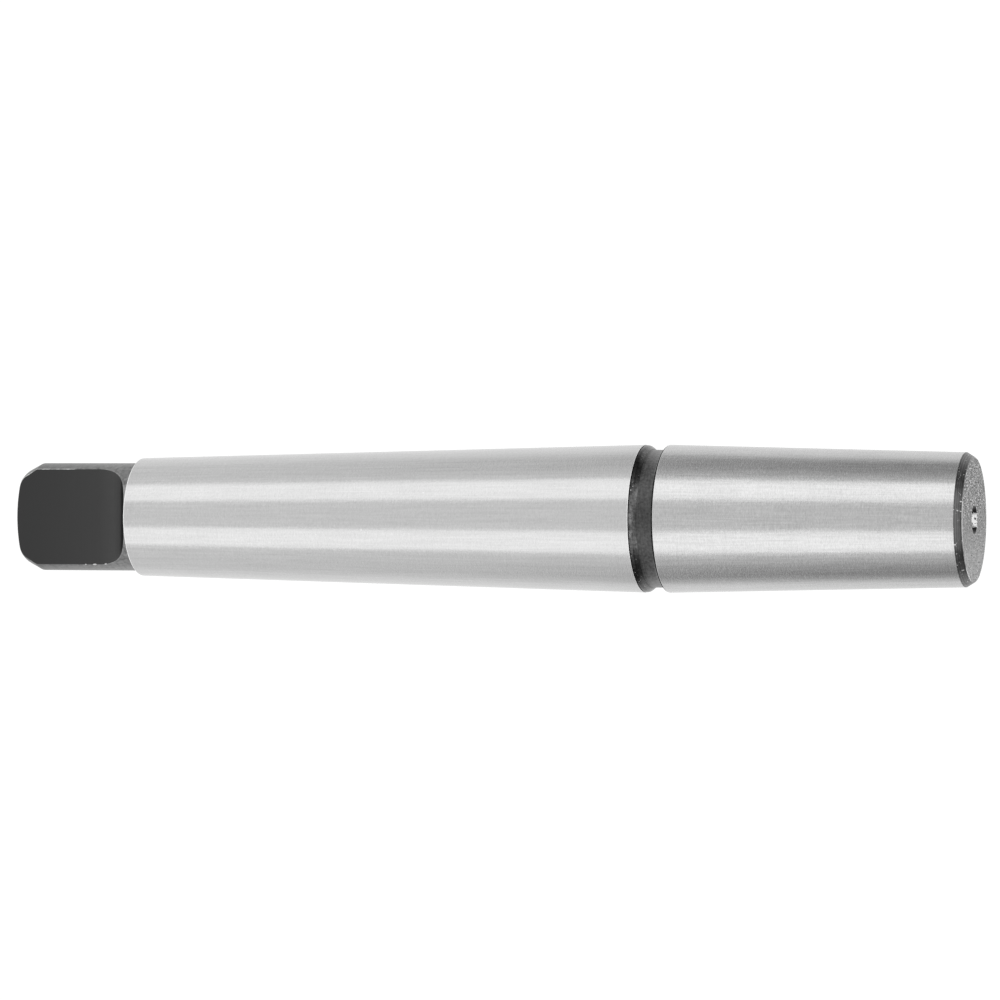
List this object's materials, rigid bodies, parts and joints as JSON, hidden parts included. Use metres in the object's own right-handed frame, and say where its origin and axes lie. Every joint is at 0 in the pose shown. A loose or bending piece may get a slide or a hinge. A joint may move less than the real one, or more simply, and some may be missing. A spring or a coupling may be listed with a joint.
{
  "type": "drill chuck arbor",
  "caption": "Solid steel drill chuck arbor: a long self-holding taper with a flat milled tang at one end, a neck groove, and a short chuck taper at the other.",
  "frame": {"origin": "centre of the end face of the chuck taper, on which the arbor stands", "axes": "+Z along the arbor towards the tang; the tang's flats face +Y and -Y"},
  "size_m": [0.018, 0.018, 0.1218],
  "materials": {
    "steel": "tapers ground bright; tang, neck groove and end chamfer left dark"
  },
  "bodies": {
    "root": {"drill_chuck_arbor": "steel"}
  },
  "joints": []
}
